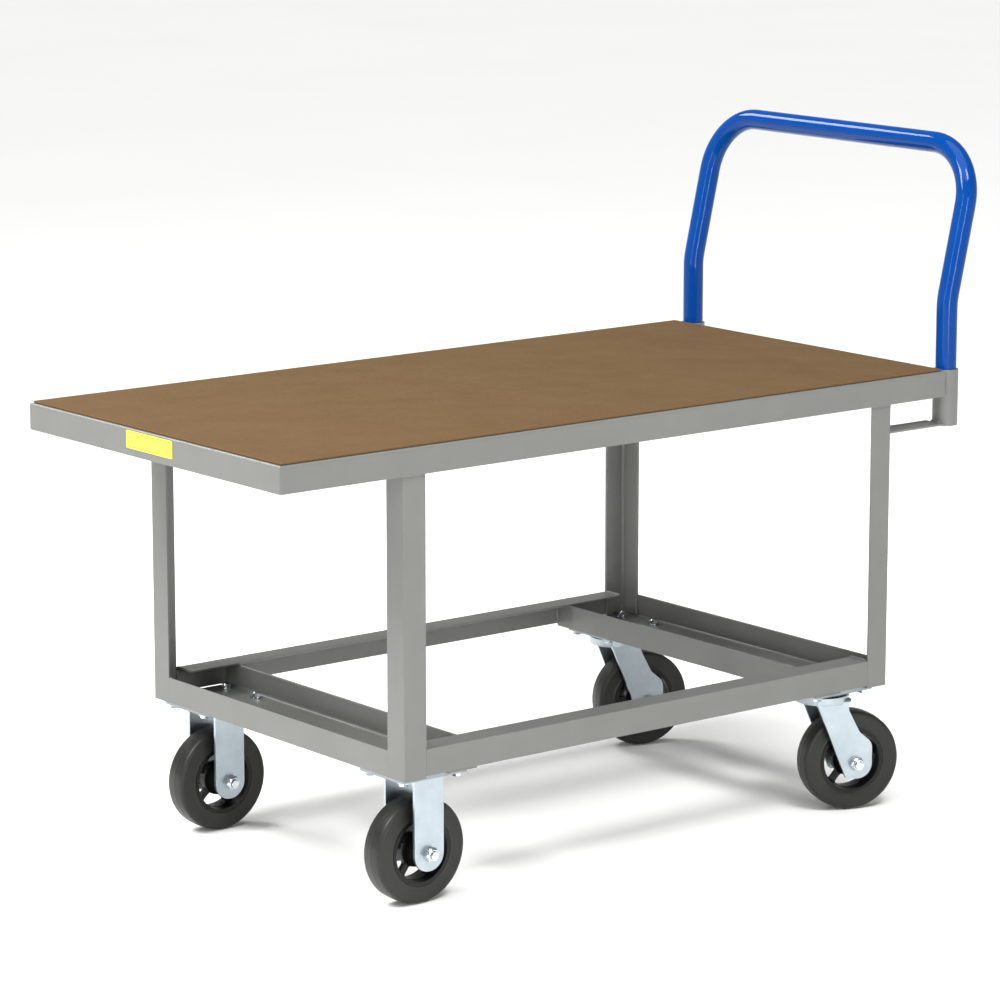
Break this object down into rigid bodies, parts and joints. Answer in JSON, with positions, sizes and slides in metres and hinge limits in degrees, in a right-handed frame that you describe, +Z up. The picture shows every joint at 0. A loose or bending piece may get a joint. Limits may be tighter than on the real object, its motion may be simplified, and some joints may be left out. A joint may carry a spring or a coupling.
{
  "type": "platform cart",
  "caption": "Raised flat-deck platform cart: hardboard-topped steel angle frame on legs, rigid and swivel casters, and a lift-out U-shaped push handle in rear sockets.",
  "frame": {"origin": "on the floor, under the middle of the whole cart with its handle seated", "axes": "+X across the cart, +Y along it towards the push handle, +Z up"},
  "size_m": [0.62, 1.308, 1.005],
  "materials": {
    "frame_paint": "satin grey enamel",
    "handle_paint": "gloss blue powder coat",
    "hardboard": "tempered hardboard, matte",
    "label_vinyl": "plain yellow vinyl",
    "zinc_plate": "bright zinc plate",
    "zinc_fastener": "zinc-plated fastener",
    "bearing_steel": "hardened bearing steel",
    "hub_iron": "black painted cast iron",
    "tyre_rubber": "dark moulded rubber"
  },
  "bodies": {
    "cart": {"deck_apron_front": "frame_paint", "deck_apron_rear": "frame_paint", "deck_apron_left": "frame_paint", "deck_apron_right": "frame_paint", "deck_sheet": "frame_paint", "deck_cross_front": "frame_paint", "deck_cross_rear": "frame_paint", "leg_front_left": "frame_paint", "leg_front_right": "frame_paint", "leg_rear_left": "frame_paint", "leg_rear_right": "frame_paint", "side_rail_left": "frame_paint", "side_rail_right": "frame_paint", "end_rail_front": "frame_paint", "end_rail_rear": "frame_paint", "caster_cross_front": "frame_paint", "caster_cross_rear": "frame_paint", "handle_socket_left": "frame_paint", "handle_socket_right": "frame_paint", "socket_brace_left": "frame_paint", "socket_brace_right": "frame_paint", "hardboard_panel": "hardboard", "label_plate": "label_vinyl", "caster_plate_front_left": "zinc_plate", "caster_fork_front_left": "zinc_plate", "axle_bolt_front_left": "zinc_fastener", "axle_nut_front_left": "zinc_fastener", "caster_plate_rear_left": "zinc_plate", "race_cup_rear_left": "zinc_plate", "ball_ring_rear_left": "bearing_steel", "kingpin_rear_left": "zinc_fastener", "kingpin_nut_rear_left": "zinc_fastener", "caster_plate_front_right": "zinc_plate", "caster_fork_front_right": "zinc_plate", "axle_bolt_front_right": "zinc_fastener", "axle_nut_front_right": "zinc_fastener", "caster_plate_rear_right": "zinc_plate", "race_cup_rear_right": "zinc_plate", "ball_ring_rear_right": "bearing_steel", "kingpin_rear_right": "zinc_fastener", "kingpin_nut_rear_right": "zinc_fastener"},
    "handle": {"push_handle": "handle_paint"},
    "front_left_wheel": {"wheel_tyre_front_left": "tyre_rubber", "wheel_hub_front_left": "hub_iron", "wheel_bearing_front_left": "bearing_steel"},
    "front_right_wheel": {"wheel_tyre_front_right": "tyre_rubber", "wheel_hub_front_right": "hub_iron", "wheel_bearing_front_right": "bearing_steel"},
    "rear_left_swivel": {"caster_fork_rear_left": "zinc_plate", "axle_bolt_rear_left": "zinc_fastener", "axle_nut_rear_left": "zinc_fastener"},
    "rear_left_wheel": {"wheel_tyre_rear_left": "tyre_rubber", "wheel_hub_rear_left": "hub_iron", "wheel_bearing_rear_left": "bearing_steel"},
    "rear_right_swivel": {"caster_fork_rear_right": "zinc_plate", "axle_bolt_rear_right": "zinc_fastener", "axle_nut_rear_right": "zinc_fastener"},
    "rear_right_wheel": {"wheel_tyre_rear_right": "tyre_rubber", "wheel_hub_rear_right": "hub_iron", "wheel_bearing_rear_right": "bearing_steel"}
  },
  "joints": [
    {"name": "handle_lift", "type": "slide", "parent": "cart", "child": "handle", "axis": [0, 0, 1], "range_m": [0, 0.09]},
    {"name": "front_left_wheel_spin", "type": "hinge", "parent": "cart", "child": "front_left_wheel", "pos_m": [-0.242, -0.38421, 0.0762], "axis": [1, 0, 0], "continuous": true},
    {"name": "front_right_wheel_spin", "type": "hinge", "parent": "cart", "child": "front_right_wheel", "pos_m": [0.242, -0.38421, 0.0762], "axis": [1, 0, 0], "continuous": true},
    {"name": "rear_left_swivel_turn", "type": "hinge", "parent": "cart", "child": "rear_left_swivel", "pos_m": [-0.242, 0.3866, 0.185], "axis": [0, 0, 1], "continuous": true},
    {"name": "rear_left_wheel_spin", "type": "hinge", "parent": "rear_left_swivel", "child": "rear_left_wheel", "pos_m": [-0.23056, 0.42701, 0.0762], "axis": [0.9622, -0.2723, 0], "continuous": true},
    {"name": "rear_right_swivel_turn", "type": "hinge", "parent": "cart", "child": "rear_right_swivel", "pos_m": [0.242, 0.3866, 0.185], "axis": [0, 0, 1], "continuous": true},
    {"name": "rear_right_wheel_spin", "type": "hinge", "parent": "rear_right_swivel", "child": "rear_right_wheel", "pos_m": [0.25678, 0.42591, 0.0762], "axis": [0.9361, -0.3518, 0], "continuous": true}
  ]
}
